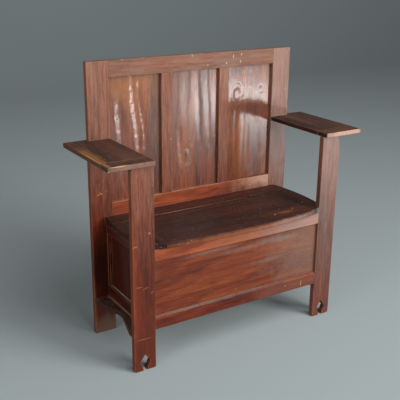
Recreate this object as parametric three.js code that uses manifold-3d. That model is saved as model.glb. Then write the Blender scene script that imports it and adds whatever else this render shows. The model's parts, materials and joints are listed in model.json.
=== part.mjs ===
// A settle bench: a panelled back on two long stiles, two flat front posts with a diamond cut
// in the foot, flat arms, and a panelled box under the seat with a lid on two butt hinges.
//
// Millimetres, +Z up, the front towards -Y, left and right as seen from the front. The pieces
// are drawn where they stand, with the floor at z = 0, the middle at x = 0 and the front face of
// the back stiles at y = 0. The bench group then puts the middle of its depth on the origin.

import * as THREE from 'three';
import { mergeVertices } from 'three/addons/utils/BufferGeometryUtils.js';
import Module from 'manifold-3d';

const wasm = await Module();
wasm.setup();

// Timber, edges and fits
const frameStock = 21;
const panelStock = 6;
const edgeEasing = 1.5;
const boardEasing = 2.5;
const easingSteps = 2;
const facetSag = 0.12;
const glueLine = 0.1;
const fit = 0.3;
const overrun = 5;

// Grooves and tenons
const grooveDepth = 10;
const panelPlay = 2;
const tenonStock = 8;
const tenonLength = 30;
const tenonShoulder = 2;
const tenonWall = 1.5;
const stubInset = 2;
const tongueStock = 6;
const tongueLength = 12;
const tongueInset = 16;

// Back
const frameWidth = 840;
const backHeight = 985;
const stileBeyondPost = 1;
const stileCorner = 3;
const topRailHeight = 57;
const muntinWidth = 42;
const backPanels = 3;
const backPanelLip = 3;
const seatRailReveal = 47;
const seatRailHeight = 100;

// Front posts
const postWidth = 79;
const postHeight = 708;
const footCorner = 6;
const postTenonHeight = 8;
const postTenonInset = 18;
const diamondTop = 60;
const diamondWaist = 33;
const diamondHalfWidth = 19;
const diamondMouth = 11;

// Box under the seat
const boxUnderside = 141;
const boxDepth = 286;
const upperRailHeight = 41;
const lowerRailHeight = 47;
const lowerRailChamfer = 6;
const frontPanelLip = 5;
const sideReach = 24;
const sidePanelLip = 7;
const ledgerStock = 20;
const bottomStock = 10;
const bottomBoards = 5;
const bottomGap = 1;

// End boards, flat under the box sides
const endBoardStock = 16;
const endBoardLand = 18;
const endBoardHollow = 35;
const endBoardRadius = 78;

// Seat
const seatTop = 446;
const seatStock = 21;
const hingeRailDepth = 75;
const seatEndReach = 27;
const seatEndBow = 14;
const stripFrontOverhang = 1.5;
const stripTongueInset = 8;
const lidInset = 15;
const lidGap = 1.5;
const lidCleatWidth = 25;
const lidEndOverhang = 4;
const lidBow = 30;

// Hinges
const hingeInset = 110;
const hingeLength = 50;
const hingeGap = 1.6;
const hingeRise = 1;
const leafHeight = 18;
const leafStock = 1.5;
const knuckles = 3;
const knuckleRadius = 3;
const pinRadius = 1.5;
const pinFit = 0.1;
const hingeSides = 24;

// Arms
const armStock = 16;
const armWidth = 161;
const armSideOverhang = 83;
const armFrontOverhang = 15;
const armCorner = 4;
const armCleatDepth = 51;
const dowelRadius = 4;
const dowelInArm = 22;
const dowelInStile = 12;
const dowelInset = 20;
const dowelSides = 16;

// Main faces and heights that follow from the sizes above
const halfFrame = frameWidth / 2;
const postInner = halfFrame - postWidth;
const stileInner = postInner - stileBeyondPost;
const postRear = -boxDepth;
const postFront = postRear - frameStock;
const sideOuter = postInner + sideReach;
const sideInner = sideOuter - frameStock;
const boxTop = seatTop - seatStock - glueLine;
const upperRailBottom = boxTop - upperRailHeight;
const lowerRailTop = boxUnderside + lowerRailHeight;
const seatRailTop = seatTop + seatRailReveal;
const seatRailBottom = seatRailTop - seatRailHeight;
const topRailBottom = backHeight - topRailHeight;
const panelEntry = grooveDepth - panelPlay;
const tenonInset = grooveDepth + tenonShoulder;
const stubLength = (frameStock - tenonStock) / 2 - tenonWall;
const seatEndHalf = postInner + seatEndReach;
const lidHalf = postInner - lidInset;
const stripInner = lidHalf + lidGap;
const stripFront = postFront - stripFrontOverhang;
const lidRear = -hingeRailDepth - hingeGap;
const lidEnd = postFront - lidEndOverhang;
const lidFront = lidEnd - lidBow;
const hingeAxisY = -hingeRailDepth - hingeGap / 2;
const hingeAxisZ = seatTop + hingeRise;
const hingePlaceX = lidHalf - hingeInset;
const knuckleLength = (hingeLength - (knuckles - 1) * fit) / knuckles;
const armUnderside = postHeight + glueLine;
const armTop = armUnderside + armStock;
const armOuter = halfFrame + armSideOverhang;
const armInner = armOuter - armWidth;
const armFront = postFront - armFrontOverhang;
const armJoint = armFront + armCleatDepth;

// Finishes of the wood and brass
const mahogany = { color: '#5a2a17', roughness: 0.35 };
const darkMahogany = { color: '#3b1d13', roughness: 0.35 };
const redMahogany = { color: '#7a3419', roughness: 0.35 };
const panelMahogany = { color: '#8a3f1c', roughness: 0.25 };
const wornMahogany = { color: '#6d4a31', roughness: 0.5 };
const rawTimber = { color: '#a07a52', roughness: 0.7 };
const brass = { color: '#a88646', roughness: 0.4, metalness: 1 };

// Outlines

function stepsFor(radius, sweep) {
  const stepAngle = 2 * Math.acos(1 - Math.min(facetSag / radius, 1));
  return Math.max(1, Math.ceil(Math.abs(sweep) / stepAngle));
}

// Corners are [across, up] or [across, up, radius of the round]
function filleted(corners) {
  return corners.flatMap(([across, up, radius = 0], index) => {
    const corner = new THREE.Vector2(across, up);
    if (radius === 0) {
      return [corner];
    }
    const before = new THREE.Vector2(...corners.at(index - 1).slice(0, 2));
    const after = new THREE.Vector2(...corners.at((index + 1) % corners.length).slice(0, 2));
    const toBefore = before.sub(corner).normalize();
    const toAfter = after.sub(corner).normalize();
    const halfAngle = Math.acos(toBefore.dot(toAfter)) / 2;
    const toCentre = toBefore.clone().add(toAfter).setLength(radius / Math.sin(halfAngle));
    const centre = corner.clone().add(toCentre);
    const start = corner.clone().addScaledVector(toBefore, radius / Math.tan(halfAngle)).sub(centre);
    const turn = Math.sign(toBefore.cross(toAfter)) * (Math.PI - 2 * halfAngle);
    const steps = stepsFor(radius, turn);
    return Array.from({ length: steps + 1 }, (_, step) => (
      start.clone().rotateAround(new THREE.Vector2(), -turn * step / steps).add(centre)
    ));
  });
}

// Points of the arc between two ends, without them, bulging to the right of the way from one to
// the other
function bowBetween(from, to, rise) {
  const start = new THREE.Vector2(...from);
  const end = new THREE.Vector2(...to);
  const halfChord = start.distanceTo(end) / 2;
  const radius = (halfChord ** 2 + rise ** 2) / (2 * rise);
  const sweep = 2 * Math.asin(halfChord / radius);
  const along = end.clone().sub(start).normalize();
  const toCentre = new THREE.Vector2(-along.y, along.x).multiplyScalar(radius - rise);
  const centre = start.clone().add(end).divideScalar(2).add(toCentre);
  const steps = stepsFor(radius, sweep);
  return Array.from({ length: steps - 1 }, (_, step) => {
    const point = start.clone().rotateAround(centre, sweep * (step + 1) / steps);
    return [point.x, point.y];
  });
}

// Solids

function solidOf(geometry) {
  geometry.deleteAttribute('normal');
  geometry.deleteAttribute('uv');
  const merged = mergeVertices(geometry);
  return new wasm.Manifold(new wasm.Mesh({
    numProp: 3,
    vertProperties: merged.attributes.position.array,
    triVerts: new Uint32Array(merged.index.array),
  }));
}

function geometryOf(solid) {
  const { vertProperties, triVerts } = solid.getMesh();
  const geometry = new THREE.BufferGeometry();
  geometry.setAttribute('position', new THREE.BufferAttribute(vertProperties, 3));
  geometry.setIndex(new THREE.BufferAttribute(triVerts, 1));
  geometry.computeVertexNormals();
  return geometry;
}

function mirrored(geometry) {
  const copy = geometry.clone().scale(-1, 1, 1);
  const corners = copy.index.array;
  for (let first = 0; first < corners.length; first += 3) {
    [corners[first + 1], corners[first + 2]] = [corners[first + 2], corners[first + 1]];
  }
  copy.computeVertexNormals();
  return copy;
}

const unitX = new THREE.Vector3(1, 0, 0);
const unitY = new THREE.Vector3(0, 1, 0);
const unitZ = new THREE.Vector3(0, 0, 1);

// The way a section is turned for each direction of the grain: its own two axes, then its length
const grainTurn = {
  x: new THREE.Matrix4().makeBasis(unitY, unitZ, unitX),
  y: new THREE.Matrix4().makeBasis(unitX, unitZ, unitY.clone().negate()),
  z: new THREE.Matrix4(),
};
const sectionAxes = { x: ['y', 'z'], y: ['x', 'z'], z: ['x', 'y'] };

// An outline drawn out along an axis, its end edges rounded by the easing
function drawnOut(outline, axis, [low, high], easing = 0) {
  const geometry = new THREE.ExtrudeGeometry(new THREE.Shape(outline), {
    depth: high - low - 2 * easing,
    bevelEnabled: easing > 0,
    bevelThickness: easing,
    bevelSize: easing,
    bevelOffset: -easing,
    bevelSegments: easingSteps,
  });
  geometry.translate(0, 0, easing);
  geometry.applyMatrix4(grainTurn[axis]);
  const start = (axis === 'y' ? unitY : { x: unitX, z: unitZ }[axis]).clone();
  start.multiplyScalar(axis === 'y' ? high : low);
  geometry.translate(start.x, start.y, start.z);
  return solidOf(geometry);
}

// A box is { x: [low, high], y: [low, high], z: [low, high] }
function block(box) {
  const size = ['x', 'y', 'z'].map((axis) => box[axis][1] - box[axis][0]);
  const middle = ['x', 'y', 'z'].map((axis) => (box[axis][1] + box[axis][0]) / 2);
  const geometry = new THREE.BoxGeometry(...size);
  geometry.translate(...middle);
  return solidOf(geometry);
}

// A length of timber along the grain, its long edges eased and its ends square
function stick(box, grain, easing = edgeEasing) {
  const [across, up] = sectionAxes[grain];
  const section = filleted([
    [box[across][0], box[up][0], easing],
    [box[across][1], box[up][0], easing],
    [box[across][1], box[up][1], easing],
    [box[across][0], box[up][1], easing],
  ]);
  return drawnOut(section, grain, box[grain]);
}

// A round bar about a line along the x or y axis
function roundBar(axis, centre, [low, high], radius, sides) {
  const geometry = new THREE.CylinderGeometry(radius, radius, high - low, sides);
  geometry.translate(0, (high + low) / 2, 0);
  if (axis === 'x') {
    geometry.rotateZ(-Math.PI / 2);
  }
  geometry.translate(...centre);
  return solidOf(geometry);
}

function grown(box, by, axes = ['x', 'y', 'z']) {
  const wider = axes.map((axis) => [axis, [box[axis][0] - by, box[axis][1] + by]]);
  return { ...box, ...Object.fromEntries(wider) };
}

function flipped(box) {
  return { ...box, x: [-box.x[1], -box.x[0]] };
}

function joined(solid, boxes) {
  return boxes.reduce((whole, box) => whole.add(block(box)), solid);
}

function cut(solid, boxes) {
  return boxes.reduce((rest, box) => rest.subtract(block(box)), solid);
}

// Room for a tenon, a tongue or a leaf
function mortise(box) {
  return grown(box, fit);
}

// A tenon on one end of a rail, with its root inside the rail
function tenon(rail, axis, side, length) {
  const thick = axis === 'x' ? 'y' : 'x';
  const shoulder = side > 0 ? rail[axis][1] : rail[axis][0];
  const ends = [shoulder - side * overrun, shoulder + side * length].sort((a, b) => a - b);
  const middle = (rail[thick][0] + rail[thick][1]) / 2;
  return {
    [axis]: ends,
    [thick]: [middle - tenonStock / 2, middle + tenonStock / 2],
    z: [rail.z[0] + tenonInset, rail.z[1] - tenonInset],
  };
}

// Panels: an opening is the daylight between the frame members, in the panel's own plane

function panelIn(opening, plane) {
  return grown(opening, panelEntry, plane);
}

function slotFor(opening, plane) {
  return grown(grown(opening, grooveDepth, plane), fit, ['x', 'y'].filter((axis) => !plane.includes(axis)));
}

const inBack = ['x', 'z'];
const inSide = ['y', 'z'];

// The bench's groups and how a piece is put in one

const bench = new THREE.Group();
bench.position.y = -(lidFront + frameStock) / 2;

function groupAt(x, y, z) {
  const group = new THREE.Group();
  group.position.set(x, y, z);
  bench.add(group);
  return group;
}

function place(group, name, geometry, finish) {
  const local = geometry.clone();
  local.translate(-group.position.x, -group.position.y, -group.position.z);
  const mesh = new THREE.Mesh(local, new THREE.MeshStandardMaterial(finish));
  mesh.name = name;
  group.add(mesh);
}

function placeOne(group, name, solid, finish) {
  place(group, name, geometryOf(solid), finish);
}

// A piece drawn on the right, and its mirror image on the left
function placePair(group, name, solid, finish) {
  const right = geometryOf(solid);
  place(group, `${name}_right`, right, finish);
  place(group, `${name}_left`, mirrored(right), finish);
}

// Back frame

const backDepth = [0, frameStock];
const backPanelDepth = [frameStock - backPanelLip - panelStock, frameStock - backPanelLip];
const backRailLength = [-stileInner + glueLine, stileInner - glueLine];
const topRailBox = { x: backRailLength, y: backDepth, z: [topRailBottom, backHeight] };
const seatRailBox = { x: backRailLength, y: backDepth, z: [seatRailBottom, seatRailTop] };
const bottomRailBox = { x: backRailLength, y: backDepth, z: [boxUnderside, lowerRailTop] };

const muntins = backPanels - 1;
const panelPitch = (2 * stileInner + muntinWidth) / backPanels;
const panelWidth = panelPitch - muntinWidth;
const backOpenings = Array.from({ length: backPanels }, (_, index) => ({
  x: [-stileInner + index * panelPitch, -stileInner + index * panelPitch + panelWidth],
  y: backPanelDepth,
  z: [seatRailTop, topRailBottom],
}));
const muntinBoxes = backOpenings.slice(0, muntins).map((opening) => ({
  x: [opening.x[1], opening.x[1] + muntinWidth],
  y: backDepth,
  z: [seatRailTop + glueLine, topRailBottom - glueLine],
}));
const boxBackOpening = {
  x: [-stileInner, stileInner],
  y: backPanelDepth,
  z: [lowerRailTop, seatRailBottom],
};
const backSlots = [...backOpenings, boxBackOpening].map((opening) => slotFor(opening, inBack));

// The stub at a muntin's two ends, between the grooves of its edges
function muntinStub(muntin) {
  return {
    x: [muntin.x[0] + tenonInset, muntin.x[1] - tenonInset],
    y: backPanelDepth,
    z: [muntin.z[0] - panelEntry, muntin.z[1] + panelEntry],
  };
}

function backRail(rail) {
  const tenons = [-1, 1].map((side) => tenon(rail, 'x', side, tenonLength));
  const mortises = muntinBoxes.map(muntinStub).map(mortise);
  return joined(cut(stick(rail, 'x'), [...backSlots, ...mortises]), tenons);
}

function backStile() {
  const outline = filleted([
    [stileInner, 0],
    [halfFrame, 0, stileCorner],
    [halfFrame, backHeight, stileCorner],
    [stileInner, backHeight],
  ]);
  const rails = [topRailBox, seatRailBox, bottomRailBox];
  const tenons = [
    ...rails.map((rail) => tenon(rail, 'x', 1, tenonLength)),
    ...[sideTopRailBox, sideBottomRailBox].map((rail) => tenon(rail, 'y', 1, stubLength)),
    endBoardTongue,
  ];
  const body = cut(drawnOut(outline, 'y', backDepth, edgeEasing), [...backSlots, ...tenons.map(mortise)]);
  return dowelPlaces.reduce((rest, x) => rest.subtract(dowel(x, fit)), body);
}

function muntin(box) {
  return joined(cut(stick(box, 'z'), backSlots), [muntinStub(box)]);
}

function addBack() {
  const back = groupAt(0, 0, 0);
  const sides = ['left', 'centre', 'right'];
  placePair(back, 'back_stile', backStile(), mahogany);
  placeOne(back, 'back_top_rail', backRail(topRailBox), mahogany);
  placeOne(back, 'back_seat_rail', backRail(seatRailBox), redMahogany);
  placeOne(back, 'back_bottom_rail', backRail(bottomRailBox), darkMahogany);
  muntinBoxes.forEach((box, index) => {
    placeOne(back, `back_muntin_${index + 1}`, muntin(box), redMahogany);
  });
  backOpenings.forEach((opening, index) => {
    const name = sides[index] ?? `${index + 1}`;
    placeOne(back, `back_panel_${name}`, block(panelIn(opening, inBack)), panelMahogany);
  });
  placeOne(back, 'box_back_panel', block(panelIn(boxBackOpening, inBack)), darkMahogany);
}

// Front frame

const frontDepth = [postFront, postRear];
const frontRailLength = [-postInner + glueLine, postInner - glueLine];
const frontTopRailBox = { x: frontRailLength, y: frontDepth, z: [upperRailBottom, boxTop] };
const frontBottomRailBox = { x: frontRailLength, y: frontDepth, z: [boxUnderside, lowerRailTop] };
const frontOpening = {
  x: [-postInner, postInner],
  y: [postRear - frontPanelLip - panelStock, postRear - frontPanelLip],
  z: [lowerRailTop, upperRailBottom],
};
const frontSlot = slotFor(frontOpening, inBack);
const postMiddleY = (postFront + postRear) / 2;
const postTenon = {
  x: [postInner + postTenonInset, halfFrame - postTenonInset],
  y: [postMiddleY - tenonStock / 2, postMiddleY + tenonStock / 2],
  z: [postHeight - overrun, postHeight + postTenonHeight],
};

// The foot is pierced by a diamond that opens through the bottom edge
function frontPost() {
  const middle = (postInner + halfFrame) / 2;
  const outline = filleted([
    [postInner, 0, footCorner],
    [middle - diamondMouth / 2, 0],
    [middle - diamondHalfWidth, diamondWaist],
    [middle, diamondTop],
    [middle + diamondHalfWidth, diamondWaist],
    [middle + diamondMouth / 2, 0],
    [halfFrame, 0, footCorner],
    [halfFrame, postHeight],
    [postInner, postHeight],
  ]);
  const tenons = [
    tenon(frontTopRailBox, 'x', 1, tenonLength),
    tenon(frontBottomRailBox, 'x', 1, tenonLength),
    tenon(sideTopRailBox, 'y', -1, stubLength),
    tenon(sideBottomRailBox, 'y', -1, stubLength),
    endBoardTongue,
  ];
  const body = cut(drawnOut(outline, 'y', frontDepth, edgeEasing), [frontSlot, ...tenons.map(mortise)]);
  return joined(body, [postTenon]);
}

function frontTopRail() {
  const tenons = [-1, 1].map((side) => tenon(frontTopRailBox, 'x', side, tenonLength));
  return joined(cut(stick(frontTopRailBox, 'x'), [frontSlot]), tenons);
}

function frontBottomRail() {
  const { y: [front, rear], z: [bottom, top] } = frontBottomRailBox;
  const section = filleted([
    [front, bottom, edgeEasing],
    [rear, bottom, edgeEasing],
    [rear, top, edgeEasing],
    [front + lowerRailChamfer, top],
    [front, top - lowerRailChamfer],
  ]);
  const tenons = [-1, 1].map((side) => tenon(frontBottomRailBox, 'x', side, tenonLength));
  return joined(cut(drawnOut(section, 'x', frontRailLength), [frontSlot]), tenons);
}

function addFront() {
  const front = groupAt(0, postRear, 0);
  placePair(front, 'front_post', frontPost(), mahogany);
  placeOne(front, 'front_top_rail', frontTopRail(), redMahogany);
  placeOne(front, 'front_bottom_rail', frontBottomRail(), mahogany);
  placeOne(front, 'front_panel', block(panelIn(frontOpening, inBack)), panelMahogany);
}

// Box sides, drawn for the right

const sideThickness = [sideInner, sideOuter];
const sideLength = [postRear + glueLine, -glueLine];
const sideTopRailBox = { x: sideThickness, y: sideLength, z: [upperRailBottom, boxTop] };
const sideBottomRailBox = { x: sideThickness, y: sideLength, z: [boxUnderside, lowerRailTop] };
const sideUprightHeight = [lowerRailTop + glueLine, upperRailBottom - glueLine];
const sideRearBox = { x: sideThickness, y: [-frameStock, -glueLine], z: sideUprightHeight };
const sideFrontBox = {
  x: sideThickness,
  y: [postRear + glueLine, postRear + frameStock],
  z: sideUprightHeight,
};
const sideOpening = {
  x: [sideInner + sidePanelLip, sideInner + sidePanelLip + panelStock],
  y: [sideFrontBox.y[1], sideRearBox.y[0]],
  z: [lowerRailTop, upperRailBottom],
};
const sideSlot = slotFor(sideOpening, inSide);

// The stub at an upright's two ends, between its outer edge and its groove
function uprightStub(box, outerEdge, towardsPanel) {
  const reach = [stubInset, frameStock - grooveDepth - stubInset];
  const edges = reach.map((depth) => outerEdge + towardsPanel * depth);
  return {
    x: sideOpening.x,
    y: edges.sort((a, b) => a - b),
    z: [box.z[0] - panelEntry, box.z[1] + panelEntry],
  };
}

const sideRearStub = uprightStub(sideRearBox, 0, -1);
const sideFrontStub = uprightStub(sideFrontBox, postRear, 1);
const sideCuts = [sideSlot, mortise(sideRearStub), mortise(sideFrontStub)];

function sideTopRail() {
  const tenons = [-1, 1].map((side) => tenon(sideTopRailBox, 'y', side, stubLength));
  return joined(cut(stick(sideTopRailBox, 'y'), sideCuts), tenons);
}

function sideBottomRail() {
  const { x: [inner, outer], z: [bottom, top] } = sideBottomRailBox;
  const section = filleted([
    [inner, bottom, edgeEasing],
    [outer, bottom, edgeEasing],
    [outer, top - lowerRailChamfer],
    [outer - lowerRailChamfer, top],
    [inner, top, edgeEasing],
  ]);
  const tenons = [-1, 1].map((side) => tenon(sideBottomRailBox, 'y', side, stubLength));
  return joined(cut(drawnOut(section, 'y', sideLength), sideCuts), tenons);
}

function upright(box, stub) {
  return joined(cut(stick(box, 'z'), [sideSlot]), [stub]);
}

function addSides() {
  const sides = groupAt(0, 0, 0);
  placePair(sides, 'side_top_rail', sideTopRail(), mahogany);
  placePair(sides, 'side_bottom_rail', sideBottomRail(), mahogany);
  placePair(sides, 'side_rear_upright', upright(sideRearBox, sideRearStub), mahogany);
  placePair(sides, 'side_front_upright', upright(sideFrontBox, sideFrontStub), mahogany);
  placePair(sides, 'side_panel', block(panelIn(sideOpening, inSide)), panelMahogany);
}

// End boards: two straight arms run in from the posts and meet in a round hollow

const endBoardTop = boxUnderside - glueLine;
const endBoardHeight = [endBoardTop - endBoardStock, endBoardTop];
const endBoardMiddle = endBoardTop - endBoardStock / 2;
const endBoardTongue = {
  x: [postInner + tongueInset, halfFrame - tongueInset],
  y: [postRear - stubLength, stubLength],
  z: [endBoardMiddle - tongueStock / 2, endBoardMiddle + tongueStock / 2],
};

function endBoard() {
  const outline = filleted([
    [postInner, -glueLine],
    [postInner, postRear + glueLine],
    [halfFrame, postRear + glueLine],
    [halfFrame, postRear + endBoardLand],
    [halfFrame - endBoardHollow, postRear / 2, endBoardRadius],
    [halfFrame, -endBoardLand],
    [halfFrame, -glueLine],
  ]);
  const tongues = [
    { ...endBoardTongue, y: [endBoardTongue.y[0], postRear + overrun] },
    { ...endBoardTongue, y: [-overrun, endBoardTongue.y[1]] },
  ];
  return joined(drawnOut(outline, 'z', endBoardHeight, edgeEasing), tongues);
}

// Bottom of the box

const insideLength = [-sideInner + glueLine, sideInner - glueLine];
const ledgerHeight = [boxUnderside, boxUnderside + ledgerStock];
const bottomHeight = [ledgerHeight[1] + glueLine, ledgerHeight[1] + glueLine + bottomStock];
const bottomPitch = (insideLength[1] - insideLength[0] + bottomGap) / bottomBoards;

function addBottom() {
  const bottom = groupAt(0, postRear / 2, boxUnderside);
  const rear = { x: insideLength, y: [-ledgerStock, -glueLine], z: ledgerHeight };
  const front = { x: insideLength, y: [postRear + glueLine, postRear + ledgerStock], z: ledgerHeight };
  placeOne(bottom, 'bottom_ledger_back', stick(rear, 'x'), rawTimber);
  placeOne(bottom, 'bottom_ledger_front', stick(front, 'x'), rawTimber);
  for (let index = 0; index < bottomBoards; index += 1) {
    const left = insideLength[0] + index * bottomPitch;
    const box = { x: [left, left + bottomPitch - bottomGap], y: sideLength, z: bottomHeight };
    placeOne(bottom, `bottom_board_${index + 1}`, stick(box, 'y'), rawTimber);
  }
}

// Seat: a hinge rail along the back and a strip at each end, round the lid

const seatHeight = [seatTop - seatStock, seatTop];
const seatMiddle = seatTop - seatStock / 2;
const stripTongue = {
  x: [stripInner + stripTongueInset, seatEndHalf - stripTongueInset],
  y: [-hingeRailDepth - overrun, -hingeRailDepth + tongueLength],
  z: [seatMiddle - tongueStock / 2, seatMiddle + tongueStock / 2],
};

function seatSurround() {
  const rearRight = [seatEndHalf, -glueLine];
  const frontRight = [seatEndHalf, postRear + glueLine];
  const rearLeft = [-seatEndHalf, -glueLine];
  const frontLeft = [-seatEndHalf, postRear + glueLine];
  const outline = filleted([
    rearLeft,
    ...bowBetween(rearLeft, frontLeft, seatEndBow),
    frontLeft,
    [-postInner + glueLine, postRear + glueLine],
    [-postInner + glueLine, stripFront],
    [-stripInner, stripFront],
    [-stripInner, -hingeRailDepth],
    [stripInner, -hingeRailDepth],
    [stripInner, stripFront],
    [postInner - glueLine, stripFront],
    [postInner - glueLine, postRear + glueLine],
    frontRight,
    ...bowBetween(frontRight, rearRight, seatEndBow),
    rearRight,
  ]);
  return drawnOut(outline, 'z', seatHeight, edgeEasing);
}

function hingeRail() {
  const keep = block({
    x: [-halfFrame, halfFrame],
    y: [-hingeRailDepth, overrun],
    z: [seatHeight[0] - overrun, seatHeight[1] + overrun],
  });
  const tongues = [stripTongue, flipped(stripTongue)].map(mortise);
  const body = cut(seatSurround().intersect(keep), tongues);
  return hingePlaces.reduce((rest, x) => rest.subtract(hingePocket(x, railLeafBox(x))), body);
}

function endStrip() {
  const keep = block({
    x: [0, halfFrame],
    y: [stripFront - overrun, -hingeRailDepth - glueLine],
    z: [seatHeight[0] - overrun, seatHeight[1] + overrun],
  });
  return joined(seatSurround().intersect(keep), [stripTongue]);
}

function addSeat() {
  const seat = groupAt(0, 0, seatHeight[0]);
  const batten = { x: insideLength, y: [-ledgerStock, -glueLine], z: [boxTop - ledgerStock, boxTop] };
  placeOne(seat, 'seat_hinge_rail', hingeRail(), darkMahogany);
  placePair(seat, 'seat_end_strip', endStrip(), darkMahogany);
  placeOne(seat, 'seat_batten', stick(batten, 'x'), rawTimber);
}

// Lid: one board between two cleats, with a bowed front edge, resting on the box rails

const lidHeight = [boxTop + fit, seatTop];
const lidMiddle = (lidHeight[0] + lidHeight[1]) / 2;
const lidCleatInner = lidHalf - lidCleatWidth;
const lidTongue = {
  x: [lidCleatInner - overrun, lidCleatInner + tongueLength],
  y: [lidEnd + tongueInset, lidRear - tongueInset],
  z: [lidMiddle - tongueStock / 2, lidMiddle + tongueStock / 2],
};

function lidSlab() {
  const frontLeft = [-lidHalf, lidEnd];
  const frontRight = [lidHalf, lidEnd];
  const outline = filleted([
    [-lidHalf, lidRear],
    frontLeft,
    ...bowBetween(frontLeft, frontRight, lidBow),
    frontRight,
    [lidHalf, lidRear],
  ]);
  return drawnOut(outline, 'z', lidHeight, boardEasing);
}

function lidPart(across) {
  return lidSlab().intersect(block({
    x: across,
    y: [lidFront - overrun, lidRear + overrun],
    z: [lidHeight[0] - overrun, lidHeight[1] + overrun],
  }));
}

function lidBoard() {
  const reach = lidCleatInner - glueLine;
  const body = joined(lidPart([-reach, reach]), [lidTongue, flipped(lidTongue)]);
  return hingePlaces.reduce((rest, x) => rest.subtract(hingePocket(x, lidLeafBox(x))), body);
}

function lidCleat() {
  return cut(lidPart([lidCleatInner, lidHalf + overrun]), [mortise(lidTongue)]);
}

// Butt hinges: a leaf let into each edge, three knuckles and a pin

const hingePlaces = [-hingePlaceX, hingePlaceX];
const leafBottom = seatTop - leafHeight;

function railLeafBox(x) {
  return {
    x: [x - hingeLength / 2, x + hingeLength / 2],
    y: [-hingeRailDepth, -hingeRailDepth + leafStock],
    z: [leafBottom, seatTop],
  };
}

function lidLeafBox(x) {
  return { ...railLeafBox(x), y: [lidRear - leafStock, lidRear] };
}

function hingeBar(x, [low, high], radius) {
  return roundBar('x', [x, hingeAxisY, hingeAxisZ], [low, high], radius, hingeSides);
}

function hingePocket(x, leafBox) {
  const half = hingeLength / 2 + fit;
  const open = { ...leafBox, z: [leafBox.z[0], leafBox.z[1] + overrun] };
  return block(mortise(open)).add(hingeBar(x, [-half, half], knuckleRadius + fit));
}

// The knuckles belong to the two leaves in turn, the first and last to the rail's
const knuckleEnds = Array.from({ length: knuckles }, (_, index) => {
  const low = -hingeLength / 2 + index * (knuckleLength + fit);
  return [low, low + knuckleLength];
});
const railKnuckles = knuckleEnds.filter((_, index) => index % 2 === 0);
const lidKnuckles = knuckleEnds.filter((_, index) => index % 2 === 1);

// A leaf keeps clear of the other leaf's knuckles and carries its own
function leaf(x, box, ownKnuckles, otherKnuckles) {
  const bore = hingeBar(x, [-hingeLength, hingeLength], pinRadius + pinFit);
  const cleared = otherKnuckles.reduce((rest, [low, high]) => (
    rest.subtract(hingeBar(x, [low - fit, high + fit], knuckleRadius + fit))
  ), block(box));
  const whole = ownKnuckles.reduce((sum, ends) => sum.add(hingeBar(x, ends, knuckleRadius)), cleared);
  return whole.subtract(bore);
}

function addHingesAndLid() {
  const seat = groupAt(0, hingeAxisY, hingeAxisZ);
  const lid = groupAt(0, hingeAxisY, hingeAxisZ);
  placeOne(lid, 'lid_board', lidBoard(), darkMahogany);
  placePair(lid, 'lid_cleat', lidCleat(), darkMahogany);
  hingePlaces.forEach((x) => {
    const side = x < 0 ? 'left' : 'right';
    const half = hingeLength / 2;
    const railLeaf = leaf(x, railLeafBox(x), railKnuckles, lidKnuckles);
    const lidLeaf = leaf(x, lidLeafBox(x), lidKnuckles, railKnuckles);
    placeOne(seat, `hinge_${side}_rail_leaf`, railLeaf, brass);
    placeOne(lid, `hinge_${side}_lid_leaf`, lidLeaf, brass);
    placeOne(seat, `hinge_${side}_pin`, hingeBar(x, [-half, half], pinRadius), brass);
  });
}

// Arms: a board that runs back beside the stile, and a cleat across its front end

const armHeight = [armUnderside, armTop];
const armMiddle = (armUnderside + armTop) / 2;
const armTongue = {
  x: [armInner + tongueInset, armOuter - tongueInset],
  y: [armJoint - tongueLength, armJoint + overrun],
  z: [armMiddle - tongueStock / 2, armMiddle + tongueStock / 2],
};
const dowelPlaces = [armInner + dowelInset, halfFrame - dowelInset];

function dowel(x, clearance) {
  const ends = [-dowelInArm - clearance, dowelInStile + clearance];
  return roundBar('y', [x, 0, armMiddle], ends, dowelRadius + clearance, dowelSides);
}

function armPart(along) {
  const outline = filleted([
    [armInner, -glueLine],
    [armInner, armFront, armCorner],
    [armOuter, armFront, armCorner],
    [armOuter, frameStock, armCorner],
    [halfFrame + glueLine, frameStock],
    [halfFrame + glueLine, -glueLine],
  ]);
  return drawnOut(outline, 'z', armHeight, boardEasing).intersect(block({
    x: [0, armOuter + overrun],
    y: along,
    z: [armUnderside - overrun, armTop + overrun],
  }));
}

function armBoard() {
  const body = joined(armPart([armJoint + glueLine, frameStock + overrun]), [armTongue]);
  return dowelPlaces.reduce((rest, x) => rest.subtract(dowel(x, fit)), body);
}

function armCleat() {
  return cut(armPart([armFront - overrun, armJoint]), [mortise(armTongue), mortise(postTenon)]);
}

function addArms() {
  const arms = groupAt(0, 0, armUnderside);
  placePair(arms, 'arm_board', armBoard(), wornMahogany);
  placePair(arms, 'arm_cleat', armCleat(), wornMahogany);
  dowelPlaces.forEach((x, index) => {
    placePair(arms, `arm_dowel_${index === 0 ? 'inner' : 'outer'}`, dowel(x, 0), rawTimber);
  });
}

function addEndBoards() {
  placePair(groupAt(0, postRear / 2, boxUnderside), 'end_board', endBoard(), mahogany);
}

addBack();
addFront();
addSides();
addEndBoards();
addBottom();
addSeat();
addHingesAndLid();
addArms();

export default bench;
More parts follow.
